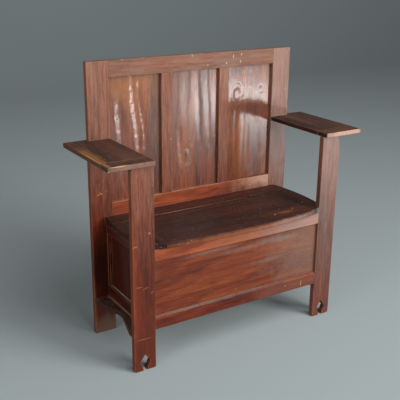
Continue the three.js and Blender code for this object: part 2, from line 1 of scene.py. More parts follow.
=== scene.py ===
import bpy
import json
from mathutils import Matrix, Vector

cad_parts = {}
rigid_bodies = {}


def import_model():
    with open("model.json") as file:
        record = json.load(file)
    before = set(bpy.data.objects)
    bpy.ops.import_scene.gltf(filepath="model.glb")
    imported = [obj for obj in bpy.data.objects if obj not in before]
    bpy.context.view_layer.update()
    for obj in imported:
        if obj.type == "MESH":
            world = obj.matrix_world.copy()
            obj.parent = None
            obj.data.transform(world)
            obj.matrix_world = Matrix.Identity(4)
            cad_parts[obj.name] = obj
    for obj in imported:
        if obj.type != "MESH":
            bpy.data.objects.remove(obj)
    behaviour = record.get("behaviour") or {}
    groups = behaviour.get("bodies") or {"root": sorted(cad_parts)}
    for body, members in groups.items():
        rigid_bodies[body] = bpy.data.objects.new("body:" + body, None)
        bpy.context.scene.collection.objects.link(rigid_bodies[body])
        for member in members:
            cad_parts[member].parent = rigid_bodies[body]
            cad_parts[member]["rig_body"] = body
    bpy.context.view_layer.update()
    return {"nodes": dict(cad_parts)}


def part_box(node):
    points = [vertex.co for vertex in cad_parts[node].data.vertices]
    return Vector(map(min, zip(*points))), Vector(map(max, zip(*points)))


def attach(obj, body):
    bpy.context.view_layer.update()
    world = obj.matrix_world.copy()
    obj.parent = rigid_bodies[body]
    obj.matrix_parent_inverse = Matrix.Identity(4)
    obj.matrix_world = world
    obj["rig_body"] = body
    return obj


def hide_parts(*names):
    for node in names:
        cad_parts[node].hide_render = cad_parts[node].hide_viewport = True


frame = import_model()

# The looks of an old mahogany settle bench. Metres, +Z up, the front towards -Y, and left and
# right as seen from the front, as in the part's own frame.

import json
import random
from math import cos, pi, radians, sin

import bmesh
import bpy
from mathutils import Matrix, Vector

MM = 0.001

# Tools


def linear(code):
    """A colour written as sRGB hex, in linear light."""
    channels = [int(code[start : start + 2], 16) / 255 for start in (1, 3, 5)]
    return [c / 12.92 if c <= 0.04045 else ((c + 0.055) / 1.055) ** 2.4 for c in channels] + [1]


def add(tree, kind, links=(), out=0, stops=(), **settings):
    """Adds a node and gives one of its outputs. Links are numbers, colours or other nodes'
    outputs, in the order of the node's inputs or each under its input's name. Stops are a colour
    ramp's places and colours, its two ends first."""
    made = tree.nodes.new(f"ShaderNode{kind}")
    for name, value in settings.items():
        setattr(made, name, value)
    for place, value in links.items() if isinstance(links, dict) else enumerate(links):
        if isinstance(value, bpy.types.NodeSocket):
            tree.links.new(value, made.inputs[place])
        else:
            made.inputs[place].default_value = value
    for index, (place, colour) in enumerate(stops):
        ramp = made.color_ramp.elements
        stop = ramp[index] if index < 2 else ramp.new(place)
        stop.position = place
        stop.color = linear(colour)
    return made.outputs[out]


def new_material(name):
    material = bpy.data.materials.new(name)
    material.use_nodes = True
    tree = material.node_tree
    return material, tree, tree.nodes["Principled BSDF"]


def alone(obj):
    """Selects one object and nothing else."""
    bpy.ops.object.select_all(action="DESELECT")
    obj.select_set(True)
    bpy.context.view_layer.objects.active = obj


# Camera


def set_camera():
    """A camera 2.6 m from the middle of the bench, to its left and higher than its back."""
    place = (-1.3519, -2.0090, 1.3222)
    turn, rise, roll = radians(-32.33), radians(18.97), radians(0.587)
    back = Vector((sin(turn) * cos(rise), -cos(turn) * cos(rise), sin(rise)))
    level = (-back).cross(Vector((0, 0, 1))).normalized()
    upright = level.cross(-back)
    right = cos(roll) * level + sin(roll) * upright
    up = cos(roll) * upright - sin(roll) * level
    camera = bpy.data.objects.new("camera", bpy.data.cameras.new("camera"))
    bpy.context.scene.collection.objects.link(camera)
    camera.data.lens = 64.92
    camera.data.sensor_width = 36
    axes = Matrix((right, up, back)).transposed().to_4x4()
    camera.matrix_world = Matrix.Translation(place) @ axes
    bpy.context.scene.camera = camera


# Floor and light

# Metres: the floor's side, how far behind the bench the backdrop stands, its height, and the
# size of the curve between them
FLOOR_SIZE = 40
BACKDROP_AT = 4.5
BACKDROP_HEIGHT = 5
BACKDROP_CURVE = 1.5
ROOM_COLOUR, ROOM_STRENGTH = "#f2f4f6", 0.26
# Lamps: place, the point that each is aimed at, size, brightness
LAMPS = {
    "overhead": ((0.4, -1.9, 3.3), (0, 0, 0.4), (2.6, 2.2), 3.4),
    "front_right": ((2.2, -3.8, 2.0), (0, 0, 0.5), (2.0, 1.8), 8.0),
    "front_fill": ((0.4, -4.4, 0.9), (0, 0, 0.4), (2.6, 1.3), 2.6),
    "left_fill": ((-4.0, -1.4, 1.8), (0, 0, 0.5), (1.8, 1.8), 3.9),
}
# Lamps that lie face up near the floor, where the polished back mirrors them: place, turn about
# the upright in degrees, size, brightness
LOW_LAMPS = {
    "low_sheen_near": ((2.56, -1.71, 0.05), 25.5, (2.0, 1.15), 3.6),
    "low_sheen_far": ((3.01, -2.64, 0.05), 25.5, (2.0, 0.9), 23.0),
    "low_sheen_left": ((2.36, -3.41, 0.04), -57.9, (2.2, 0.24), 10.5),
}


def even_finish(name, colour, roughness):
    """One colour and one gloss all over, for what is meant to look plain."""
    material, _, shader = new_material(name)
    shader.inputs["Base Color"].default_value = linear(colour)
    shader.inputs["Roughness"].default_value = roughness
    return material


def add_floor():
    """A floor that curves up into a backdrop behind the bench."""
    bpy.ops.mesh.primitive_plane_add(
        size=FLOOR_SIZE, location=(0, BACKDROP_AT - FLOOR_SIZE / 2, 0)
    )
    floor = bpy.context.object
    floor.name = "floor"
    alone(floor)
    bpy.ops.object.mode_set(mode="EDIT")
    mesh = bmesh.from_edit_mesh(floor.data)
    for edge in mesh.edges:
        edge.select_set(all(v.co.y > 0 for v in edge.verts))
    mesh.select_flush_mode()
    bmesh.update_edit_mesh(floor.data)
    rise = {"value": (0, 0, BACKDROP_HEIGHT)}
    bpy.ops.mesh.extrude_region_move(TRANSFORM_OT_translate=rise)
    mesh = bmesh.from_edit_mesh(floor.data)
    for edge in mesh.edges:
        edge.select_set(all(v.co.y > 0 and abs(v.co.z) < MM for v in edge.verts))
    bmesh.update_edit_mesh(floor.data)
    bpy.ops.mesh.bevel(offset=BACKDROP_CURVE, segments=24, affect="EDGES")
    bpy.ops.object.mode_set(mode="OBJECT")
    bpy.ops.object.shade_smooth()
    # Matt floor paint, rolled on: an even grey that mirrors nothing
    floor.data.materials.append(even_finish("rolled_matt_paint", "#929b9c", 0.7))


def add_lamp(name, place, turn, size, brightness):
    """A soft rectangular lamp. Its brightness is that of its face, where 1 is white."""
    lamp = bpy.data.objects.new(name, bpy.data.lights.new(name, "AREA"))
    bpy.context.scene.collection.objects.link(lamp)
    lamp.data.shape = "RECTANGLE"
    lamp.data.size, lamp.data.size_y = size
    lamp.data.energy = brightness * pi * size[0] * size[1]
    lamp.location = place
    lamp.rotation_euler = turn
    lamp.visible_camera = False


def set_light():
    world = bpy.data.worlds.new("room")
    world.use_nodes = True
    background = world.node_tree.nodes["Background"]
    background.inputs["Color"].default_value = linear(ROOM_COLOUR)
    background.inputs["Strength"].default_value = ROOM_STRENGTH
    bpy.context.scene.world = world
    for name, (place, target, size, brightness) in LAMPS.items():
        turn = (Vector(target) - Vector(place)).to_track_quat("-Z", "Y").to_euler()
        add_lamp(name, place, turn, size, brightness)
    for name, (place, turn, size, brightness) in LOW_LAMPS.items():
        add_lamp(name, place, (pi, 0, radians(turn)), size, brightness)


# Timber

# How a board's own axes are turned so that its grain runs along the pattern's third axis
GRAIN_TURN = {"x": (0, -pi / 2, 0), "y": (pi / 2, 0, 0), "z": (0, 0, 0)}
# How many marks of a pattern there are in a metre, across the grain and along it
FIGURE = (9, 1.6)  # broad light and dark, 110 mm wide and 600 mm long
STREAK = (42, 2.2)  # streaks, 24 mm by 450 mm
FIBRE = (230, 17)  # fine lines, 4 mm by 60 mm
PORE = (1000, 70)  # drawn 1 mm by 14 mm so that they show: real pores are 0.2 mm by 2 mm
PATINA_AND_SHEEN = (110, 9)  # cloudy fading and painted sheen, 9 mm by 110 mm
RUBBING = (34, 14)  # rubbed lengths of an arris, 30 mm by 70 mm
SMEAR = (20, 5)  # duller and shinier places, 50 mm by 200 mm
# The same for patterns that have no grain
GRIT = 90  # clots of dust, 11 mm across, with grains down to 0.4 mm
STAIN_AND_PAINTED_LIGHT_EDGE = 22  # the ragged edge of a stain, and of painted shade and sheen, in bays of 45 mm
SPECK = 75  # one place for a speck in 13 mm, drawn 2 mm across: real ones are under 1 mm
# Knots are longer along the grain than across it
KNOT_SHAPE = (1, 1, 0.55)
SPECK_COLOUR = "#a98f7b"
# How far from an arris it is rubbed, in millimetres
ARRIS_RUB = 3
SMOOTH = {"interpolation_type": "SMOOTHSTEP"}


def grain_noise(tree, place, marks, detail, roughness, distortion=0.0):
    """Noise drawn out along the grain."""
    across, along = marks
    drawn_out = add(tree, "VectorMath", [place, (across, across, along)], operation="MULTIPLY")
    return add(
        tree, "TexNoise",
        {"Vector": drawn_out, "Scale": 1, "Detail": detail, "Roughness": roughness,
         "Distortion": distortion},
    )


def wood_figure(tree, place, finish, knots):
    """Two patterns: streaks along the grain with contours that close round the knots, from 0
    for dark to 1 for light, and the height of the fine grain and of the knots' rings."""
    broad = grain_noise(tree, place, FIGURE, 3, 0.5, distortion=0.7)
    swell = broad
    for centre, radius in knots:
        away = add(tree, "VectorMath", [place, KNOT_SHAPE], operation="MULTIPLY")
        away = add(tree, "VectorMath", [away, centre], out="Value", operation="DISTANCE")
        rise = add(tree, "MapRange", [away, radius * MM, 0, 0, 0.3], **SMOOTH)
        swell = add(tree, "Math", [rise, swell], operation="ADD")
    contour = add(tree, "Math", [swell, finish["contours"]], operation="MULTIPLY")
    contour = add(tree, "Math", [contour, 0.5], operation="PINGPONG")
    streak = grain_noise(tree, place, STREAK, 4, 0.62, distortion=0.35)
    fine = grain_noise(tree, place, FIBRE, 2, 0.55)
    figure = add(tree, "Math", [broad, 0.6], operation="MULTIPLY")
    weights = ((streak, 0.55), (contour, finish["contour_weight"]), (fine, finish["speckle"]))
    for part, weight in weights:
        figure = add(tree, "Math", [part, weight, figure], operation="MULTIPLY_ADD")
    # The middle of what the sum can be: noise has its middle at 0.5, the contours at 0.25
    middle = 0.575 + 0.5 * finish["speckle"] + 0.25 * finish["contour_weight"]
    ends = (middle - finish["spread"], middle + finish["spread"])
    figure = add(tree, "MapRange", [figure, *ends], **SMOOTH)
    # Rings only where a knot lifts the swell above the broad figure
    rings = add(tree, "Math", [swell, broad], operation="SUBTRACT")
    rings = add(tree, "Math", [contour, rings], operation="MULTIPLY")
    return figure, add(tree, "Math", [rings, finish["rings"], fine], operation="MULTIPLY_ADD")


def worn_edges(tree, place, width, share):
    """1 where an arris is rubbed through, in patches. The rounded normal leaves the flat one by
    8 degrees where the rubbing starts and by 28 where it is full."""
    rounded = add(tree, "Bevel", {"Radius": width * MM}, samples=4)
    flat = add(tree, "NewGeometry", out="Normal")
    facing = add(tree, "VectorMath", [rounded, flat], out="Value", operation="DOT_PRODUCT")
    edge = add(tree, "MapRange", [facing, 0.99, 0.88], **SMOOTH)
    patches = grain_noise(tree, place, RUBBING, 4, 0.65)
    patches = add(tree, "MapRange", [patches, 0.68 - 0.3 * share, 0.78 - 0.3 * share], **SMOOTH)
    return add(tree, "Math", [edge, patches], operation="MULTIPLY")


def dust(tree, place, lying, corners):
    """1 where dust lies: in a film on what faces up, and crumbs of it in the corners between
    pieces, where other faces within 5 mm hide a third or more of the view."""
    normal = add(tree, "TexCoord", out="Normal")
    up = add(tree, "SeparateXYZ", [normal], out="Z")
    up = add(tree, "MapRange", [up, 0.5, 0.8], **SMOOTH)
    grit = add(tree, "TexNoise", {"Vector": place, "Scale": GRIT, "Detail": 5, "Roughness": 0.75})
    film = add(tree, "MapRange", [grit, 0.35, 0.8, 0, lying], **SMOOTH)
    film = add(tree, "Math", [up, film], operation="MULTIPLY")
    corner = add(tree, "AmbientOcclusion", {"Distance": 5 * MM}, out="AO", samples=4)
    corner = add(tree, "MapRange", [corner, 0.7, 0.42, 0, corners], **SMOOTH)
    crumbs = add(tree, "MapRange", [grit, 0.35, 0.6], **SMOOTH)
    crumbs = add(tree, "Math", [corner, crumbs], operation="MULTIPLY")
    return add(tree, "Math", [crumbs, film], operation="ADD")


def stains_and_painted_light(tree, object_place, marks):
    """Worn or stained patches, and patches of painted shade and painted sheen, each as its share
    and its colour. A patch is full in its middle and runs out raggedly, a little beyond the half
    sizes given."""
    layers = []
    for centre, half, paint, strength in marks:
        away = add(tree, "VectorMath", [object_place, centre], operation="SUBTRACT")
        away = add(tree, "VectorMath", [away, half], operation="DIVIDE")
        away = add(tree, "VectorMath", [away], out="Value", operation="LENGTH")
        ragged = add(
            tree, "TexNoise",
            {"Vector": object_place, "Scale": STAIN_AND_PAINTED_LIGHT_EDGE, "Detail": 5, "Roughness": 0.6},
        )
        reach = add(tree, "Math", [ragged, 1.2, away], operation="MULTIPLY_ADD")
        share = add(tree, "MapRange", [reach, 1.9, 0.9, 0, strength], **SMOOTH)
        layers.append((share, paint))
    return layers


def specks(tree, place, share):
    """1 on scattered specks of dust and lime, on all faces but those that look down. Share is
    how many of the places for a speck have one."""
    distance = add(tree, "TexVoronoi", {"Vector": place, "Scale": SPECK}, out="Distance")
    chosen = add(tree, "SeparateXYZ", [distance.node.outputs["Color"]], out="X")
    chosen = add(tree, "MapRange", [chosen, 1 - share, 1.02 - share], **SMOOTH)
    spot = add(tree, "MapRange", [distance, 0.13, 0.08], **SMOOTH)
    normal = add(tree, "TexCoord", out="Normal")
    up = add(tree, "SeparateXYZ", [normal], out="Z")
    up = add(tree, "MapRange", [up, -0.6, -0.1], **SMOOTH)
    spot = add(tree, "Math", [spot, up], operation="MULTIPLY")
    return add(tree, "Math", [spot, chosen], operation="MULTIPLY")


def overlaid(tree, colour, layers):
    """Lays colours over one another, each where its share says."""
    for share, paint in layers:
        colour = add(
            tree, "Mix", {"Factor": share, 6: colour, 7: linear(paint)}, out=2, data_type="RGBA"
        )
    return colour


def old_timber(name, grain, offset, finish, knots, marks):
    """Timber in one of the finishes below: streaked along the grain, with open pores, paler on
    its rubbed arrises, darker on its end grain, paler and greyer towards the top as fading and
    as a painted sheen, with patches of stain, wear, painted shade and painted sheen, and dusty in
    its corners."""
    material, tree, shader = new_material(name)
    object_place = add(tree, "TexCoord", out="Object")
    turned = {"Vector": object_place, "Rotation": GRAIN_TURN[grain], "Location": offset}
    place = add(tree, "Mapping", turned)
    centres = [
        ((Vector(offset) + Vector(centre)) * Vector(KNOT_SHAPE), radius)
        for centre, radius in knots
    ]
    figure, raised = wood_figure(tree, place, finish, centres)
    darkest, dark, light, lightest = finish["tones"]
    colour = add(
        tree, "ValToRGB", [figure],
        stops=[(0.0, darkest), (1.0, lightest), (0.34, dark), (0.68, light)],
    )
    # Painted sheen: a paler, greyer colour that grows towards the top, partly real fading and
    # partly the sheen of light on the shellac, clouded by the patina noise
    height = add(tree, "SeparateXYZ", [object_place], out="Z")
    height = add(tree, "Math", [raised, 0.5, height], operation="MULTIPLY_ADD")
    # Fading and painted sheen are full at 1.15 m, above the top of the back
    reach = (finish["fade_from"], 1.15, 0, finish["fade"])
    height = add(tree, "MapRange", [height, *reach], **SMOOTH)
    patina = grain_noise(tree, place, PATINA_AND_SHEEN, 4, 0.7)
    patina = add(tree, "MapRange", [patina, 0.32, 0.68, 0.5, 1.5], **SMOOTH)
    faded = add(tree, "Math", [height, patina], operation="MULTIPLY")
    normal = add(tree, "TexCoord", out="Normal")
    end = add(tree, "SeparateXYZ", [normal], out=grain.upper())
    end = add(tree, "Math", [end], operation="ABSOLUTE")
    end = add(tree, "MapRange", [end, 0.6, 0.9, 0, 0.55], **SMOOTH)
    pore = add(tree, "MapRange", [grain_noise(tree, place, PORE, 1, 0.5), 0.6, 0.7], **SMOOTH)
    filled = add(tree, "Math", [pore, 0.5], operation="MULTIPLY")
    worn = worn_edges(tree, place, ARRIS_RUB, finish["wear"])
    dusty = dust(tree, place, finish["film"], finish["corners"])
    speckled = specks(tree, object_place, finish["specks"])
    colour = overlaid(tree, colour, [
        (faded, finish["faded"]), (end, darkest), *stains_and_painted_light(tree, object_place, marks),
        (filled, darkest), (worn, finish["bare"]), (dusty, finish["dust"]),
        (speckled, SPECK_COLOUR),
    ])
    tree.links.new(colour, shader.inputs["Base Color"])
    smears = grain_noise(tree, place, SMEAR, 4, 0.6)
    roughness = add(tree, "MapRange", [smears, 0.3, 0.7, *finish["gloss"]], **SMOOTH)
    for part, weight in ((worn, 0.25), (dusty, 0.3)):
        roughness = add(tree, "Math", [part, weight, roughness], operation="MULTIPLY_ADD")
    tree.links.new(roughness, shader.inputs["Roughness"])
    relief = add(tree, "Math", [pore, -0.6, raised], operation="MULTIPLY_ADD")
    bump = {"Strength": finish["relief"], "Distance": 0.2 * MM, "Height": relief}
    tree.links.new(add(tree, "Bump", bump), shader.inputs["Normal"])
    shader.inputs["Specular IOR Level"].default_value = finish["specular"]
    shader.inputs["Coat Weight"].default_value = finish["coat"]
    shader.inputs["Coat Roughness"].default_value = finish["coat_roughness"]
    return material


def varied(base, **changes):
    """A finish like another one, apart from what changes."""
    return {**base, **changes}


# Finishes. Tones run from dark to light, and a wider spread brings them nearer to each other.
# Fading with painted sheen starts at a height in metres, and gloss is the lowest and the highest
# roughness.

# Mahogany, planed and shellacked long ago: red-brown streaks under a soft, uneven sheen, greyer
# towards the top, partly faded and partly a painted sheen, and pale on the arrises
WARM = {
    "surface": "shellacked_mahogany",
    "tones": ["#2c0e05", "#5a1c0a", "#762b12", "#91401a"], "spread": 0.27, "speckle": 0.38,
    "contours": 9, "contour_weight": 0.12, "rings": 12, "relief": 0.3,
    "fade": 0.5, "fade_from": 0.45, "faded": "#a3745c",
    "wear": 0.8, "bare": "#b9773f", "film": 0.3, "corners": 0.6, "dust": "#9b8d80", "specks": 0.05,
    "gloss": (0.42, 0.55), "coat": 0, "coat_roughness": 0.3, "specular": 0.32,
}
# The same with a greyer top, partly faded and partly a painted sheen
TOP_RAIL = varied(WARM, faded="#8d6d57")
# The same, paler and greyer from top to bottom, partly faded and partly a painted sheen, with a
# haze in its shellac
PALE = varied(WARM, fade=0.58, fade_from=-0.1, coat=0.17, specular=0.5, faded="#947061")
# A redder board that light has hardly reached, with more gloss left
RED = varied(
    WARM, tones=["#300c04", "#742609", "#8f3712", "#a84e1b"], fade=0.35, gloss=(0.32, 0.45),
)
# A board from paler timber, which shows orange through its shellac, its tones made lighter as
# painted light against the shade under the lid
ORANGE = varied(RED, tones=["#7e3417", "#ad5024", "#cb6532", "#e5853f"], fade=0.3)
# Handled uprights: calmer streaks, all arrises rubbed, and faded, with a painted sheen, only near
# the top
POST = varied(
    WARM, tones=["#3a1408", "#5e200c", "#762b12", "#8c3d19"], spread=0.36, wear=1.0, fade_from=0.55,
)
# The frames of the box: dark red tones that paint in the shade they stand in, with pale dust packed
# in the corners
RED_SIDE = varied(
    RED, tones=["#1c0804", "#421307", "#5b1d0c", "#752a11"], corners=0.95, dust="#ab9078", fade=0.1,
)
# The seat: darkened by use and old wax, dull, with little grain to see and many specks
DARK = varied(
    WARM, tones=["#120603", "#32120a", "#47190d", "#632816"], fade=0.0, gloss=(0.45, 0.58),
    film=0.12, wear=0.6, bare="#8a5a3c", contour_weight=0.08, coat=0.03, specular=0.25, specks=0.6,
)
# The end boards, seldom dusted: brown under a dull film, their tones made lighter as painted light
# where shade falls on them
END_BOARD = varied(
    DARK, tones=["#1c0a06", "#4a2015", "#63301f", "#7f4430"], film=0.75, dust="#8d7565",
)
# The arms: shellac worn thin by hands, so dry, dull and greyer, with rubbed arrises
ARM = varied(
    DARK, tones=["#1d0f0a", "#40231a", "#553021", "#6e4431"], gloss=(0.5, 0.62), film=0.14,
    wear=0.9, bare="#b58a5c", coat=0, specks=0.2,
)
# The back panels, French polished: a thick clear film that mirrors light in streaks over a
# lively figure with rings round its knots
PANEL = varied(
    WARM, surface="french_polished_mahogany", tones=["#260a03", "#591a06", "#7d300b", "#a55416"],
    spread=0.3, speckle=0.25, contours=11, contour_weight=0.22, rings=30, relief=0.25, fade=0.36,
    faded="#8c6b55", specks=0.02, gloss=(0.3, 0.42), coat=1, coat_roughness=0.18, specular=0.18,
)
# The front panel, with less of the film left: a broad soft sheen over a calm figure
FRONT_PANEL = varied(
    PANEL, tones=["#320f07", "#6b2b15", "#8b4220", "#a9602c"], spread=0.42, contours=7,
    contour_weight=0.26, relief=0.15, fade=0.2, gloss=(0.38, 0.5), coat=0.25, coat_roughness=0.24,
)
# The other panels of the box: the film is all but gone, dust lies packed round them, and their dark
# tones are partly painted shade
SIDE_PANEL = varied(
    FRONT_PANEL, tones=["#180603", "#3c1106", "#521909", "#6b250d"], coat=0.05, fade=0.05,
    corners=0.95, dust="#ab9078",
)
# Softwood, planed and left bare inside the box: pale, dry and without shine
RAW = varied(
    WARM, surface="planed_softwood", tones=["#6a4a2c", "#8f6a42", "#a98154", "#bd9566"], fade=0,
    gloss=(0.7, 0.8), wear=0.1, relief=0.5,
)

# Each node's finish and the way its grain runs
TIMBERS = {
    "back_stile_left": (POST, "z"), "back_stile_right": (PALE, "z"),
    "back_top_rail": (TOP_RAIL, "x"), "back_seat_rail": (RED, "x"),
    "back_bottom_rail": (RED_SIDE, "x"), "back_muntin_1": (WARM, "z"),
    "back_muntin_2": (WARM, "z"), "back_panel_left": (PANEL, "z"),
    "back_panel_centre": (PANEL, "z"), "back_panel_right": (PANEL, "z"),
    "box_back_panel": (SIDE_PANEL, "x"), "front_post_left": (POST, "z"),
    "front_post_right": (PALE, "z"), "front_top_rail": (ORANGE, "x"),
    "front_bottom_rail": (WARM, "x"), "front_panel": (FRONT_PANEL, "x"),
    "side_top_rail_left": (RED_SIDE, "y"), "side_top_rail_right": (RED_SIDE, "y"),
    "side_bottom_rail_left": (RED_SIDE, "y"), "side_bottom_rail_right": (RED_SIDE, "y"),
    "side_rear_upright_left": (RED_SIDE, "z"), "side_rear_upright_right": (RED_SIDE, "z"),
    "side_front_upright_left": (RED_SIDE, "z"), "side_front_upright_right": (RED_SIDE, "z"),
    "side_panel_left": (SIDE_PANEL, "z"), "side_panel_right": (SIDE_PANEL, "z"),
    "end_board_left": (END_BOARD, "y"), "end_board_right": (END_BOARD, "y"),
    "seat_hinge_rail": (DARK, "x"), "seat_end_strip_left": (DARK, "y"),
    "seat_end_strip_right": (DARK, "y"), "lid_board": (DARK, "x"),
    "lid_cleat_left": (DARK, "y"), "lid_cleat_right": (DARK, "y"),
    "arm_board_left": (ARM, "y"), "arm_board_right": (ARM, "y"),
    "arm_cleat_left": (ARM, "x"), "arm_cleat_right": (ARM, "x"),
    "bottom_ledger_back": (RAW, "x"), "bottom_ledger_front": (RAW, "x"),
    "seat_batten": (RAW, "x"), "bottom_board_1": (RAW, "y"), "bottom_board_2": (RAW, "y"),
    "bottom_board_3": (RAW, "y"), "bottom_board_4": (RAW, "y"), "bottom_board_5": (RAW, "y"),
    "arm_dowel_inner_left": (RAW, "y"), "arm_dowel_inner_right": (RAW, "y"),
    "arm_dowel_outer_left": (RAW, "y"), "arm_dowel_outer_right": (RAW, "y"),
}
# Knots: place in metres and radius in millimetres
KNOTS = {
    "back_panel_centre": [((-0.035, 0.17, 0.621), 42)],
    "back_panel_right": [((0.296, 0.17, 0.835), 20), ((0.187, 0.17, 0.822), 48)],
}
# Worn and stained patches, and patches of painted shade and painted sheen: middle and half sizes in
# metres, colour, strength
MARKS = {
    "back_panel_left": [((-0.27, 0.171, 0.9), (0.13, 0.0035, 0.1), "#aa6a34", 0.5)],
    "back_panel_centre": [((-0.035, 0.171, 0.621), (0.004, 0.0035, 0.012), "#3a1a10", 0.8)],
    "back_panel_right": [
        ((0.2, 0.171, 0.58), (0.07, 0.0035, 0.12), "#8e4a18", 0.7),
        ((0.296, 0.171, 0.835), (0.007, 0.0035, 0.009), "#6a2c1a", 0.9),
        ((0.187, 0.171, 0.822), (0.003, 0.0035, 0.014), "#5c3a2c", 0.6),
        # Painted reflection: a darker band where the polished panel mirrors the right arm
        ((0.25, 0.171, 0.765), (0.12, 0.0035, 0.035), "#4c2115", 0.5),
    ],
    "back_seat_rail": [
        # Painted highlight: lighter, pinker patches towards the right end, standing for the sheen
        # of light there
        ((0.24, 0.16, 0.5), (0.14, 0.004, 0.08), "#a3573a", 0.6),
        ((0.36, 0.16, 0.5), (0.17, 0.004, 0.08), "#deac92", 0.8),
        ((0.0, 0.1603, 0.4937), (0.9, 0.0035, 0.0018), "#c79a68", 0.8),
    ],
    # Darker towards the foot
    "front_post_left": [((-0.38, -0.147, 0.06), (0.1, 0.004, 0.16), "#3f1a0e", 0.4)],
    "front_top_rail": [
        # Painted sheen: greyer patches towards the right, standing for light on the shellac
        ((0.06, -0.147, 0.384), (0.22, 0.004, 0.1), "#a06a50", 0.5),
        ((0.3, -0.147, 0.384), (0.24, 0.004, 0.1), "#9d8c85", 0.7),
        ((-0.2, -0.1465, 0.3836), (0.4, 0.003, 0.0015), "#b5733f", 0.7),
    ],
    "front_bottom_rail": [
        ((-0.12, -0.142, 0.1883), (0.42, 0.008, 0.0022), "#75645a", 0.95),
        ((-0.16, -0.1468, 0.187), (0.24, 0.004, 0.006), "#6f5d50", 0.75),
        ((0.24, -0.147, 0.16), (0.2, 0.004, 0.08), "#7d5645", 0.4),
    ],
    "front_panel": [
        # Painted sheen: a greyer, pinker right third, standing for light on the panel
        ((0.36, -0.137, 0.3), (0.26, 0.0035, 0.26), "#8a7062", 0.55),
        ((-0.108, -0.137, 0.37), (0.12, 0.0035, 0.009), "#8d7a72", 0.35),
        ((0.006, -0.137, 0.351), (0.1, 0.0035, 0.009), "#8d7a72", 0.32),
        ((0.146, -0.137, 0.357), (0.11, 0.0035, 0.013), "#8f8079", 0.42),
        ((0.109, -0.137, 0.285), (0.1, 0.0035, 0.009), "#8d7a72", 0.26),
    ],
    "side_bottom_rail_left": [((-0.362, 0.0, 0.1883), (0.007, 0.3, 0.0025), "#b09a84", 0.9)],
    "side_rear_upright_left": [((-0.3655, 0.1575, 0.29), (0.002, 0.003, 0.2), "#b0702f", 0.8)],
    "end_board_left": [
        ((-0.3675, 0.02, 0.1412), (0.004, 0.3, 0.002), "#b39c82", 0.9),
        ((-0.39, 0.163, 0.1412), (0.05, 0.005, 0.002), "#b39c82", 0.9),
    ],
    "arm_board_left": [
        ((-0.49, -0.03, 0.7245), (0.016, 0.13, 0.005), "#946430", 0.75),
        ((-0.501, -0.05, 0.7242), (0.005, 0.12, 0.0035), "#c48d50", 0.75),
        ((-0.5035, 0.04, 0.714), (0.003, 0.3, 0.016), "#6b4838", 0.8),
    ],
    "arm_cleat_left": [
        ((-0.41, -0.164, 0.714), (0.11, 0.006, 0.03), "#8f6c5c", 0.9),
        ((-0.495, -0.137, 0.7245), (0.01, 0.03, 0.004), "#b07c46", 0.7),
        ((-0.503, -0.164, 0.706), (0.006, 0.006, 0.007), "#e2cdb4", 0.9),
        ((-0.468, -0.1615, 0.724), (0.03, 0.0025, 0.002), "#dcb184", 0.85),
        ((-0.5035, -0.137, 0.714), (0.003, 0.05, 0.016), "#5b473d", 0.7),
    ],
    # Painted sheen: a pale pinkish front face, standing for light on it
    "arm_cleat_right": [((0.42, -0.164, 0.714), (0.16, 0.006, 0.03), "#c69d8a", 0.9)],
    # Painted sheen: grey on the front end, standing for light on it
    "seat_end_strip_right": [((0.35, -0.1485, 0.435), (0.05, 0.004, 0.02), "#77706c", 0.8)],
    # Painted sheen: grey on the front end, standing for light on it
    "lid_cleat_right": [((0.313, -0.155, 0.435), (0.03, 0.004, 0.02), "#635a56", 0.8)],
    "seat_hinge_rail": [((-0.17, 0.0858, 0.4463), (0.21, 0.0022, 0.002), "#a08470", 0.45)],
    "lid_board": [
        ((0.2, -0.12, 0.448), (0.1, 0.03, 0.01), "#6b3219", 0.35),
        ((0.205, -0.122, 0.446), (0.032, 0.012, 0.006), "#8f5426", 0.6),
        ((0.157, -0.1235, 0.446), (0.0035, 0.003, 0.003), "#d3b596", 0.9),
        ((0.252, -0.1024, 0.446), (0.005, 0.004, 0.004), "#c98f4c", 0.9),
        ((0.0, -0.18, 0.433), (0.6, 0.032, 0.011), "#8c4d2c", 0.9),
        # Painted sheen: greyer towards the right of the front edge
        ((0.25, -0.178, 0.433), (0.2, 0.032, 0.011), "#9a7c70", 0.7),
        ((-0.141, -0.1815, 0.4455), (0.01, 0.005, 0.0035), "#d8a468", 0.9),
        ((-0.17, 0.0828, 0.4463), (0.21, 0.0018, 0.002), "#8c6e58", 0.45),
    ],
    "back_stile_right": [
        ((0.38, 0.16, 0.96), (0.09, 0.004, 0.16), "#80583a", 0.35),
        # Painted sheen: a greyish pink patch halfway up, standing for light on the shellac
        ((0.38, 0.16, 0.62), (0.09, 0.004, 0.14), "#b79c90", 0.3),
    ],
    "back_stile_left": [
        ((-0.38, 0.155, 0.02), (0.08, 0.02, 0.06), "#7b6250", 0.7),
        # Painted shadow: a dark patch low on the stile, where the front post shades it
        ((-0.38, 0.155, 0.26), (0.08, 0.02, 0.12), "#210c06", 0.75),
    ],
}
FINISHES = {}


def make_finishes():
    for index, (node, (finish, grain)) in enumerate(TIMBERS.items()):
        # Far enough from its neighbours in the pattern that no two boards look alike
        offset = (0.37 * index + 0.11, 0.23 * index, 1.7 * index)
        FINISHES[node] = old_timber(
            f"{node}_{finish['surface']}", grain, offset, finish,
            KNOTS.get(node, ()), MARKS.get(node, ()),
        )


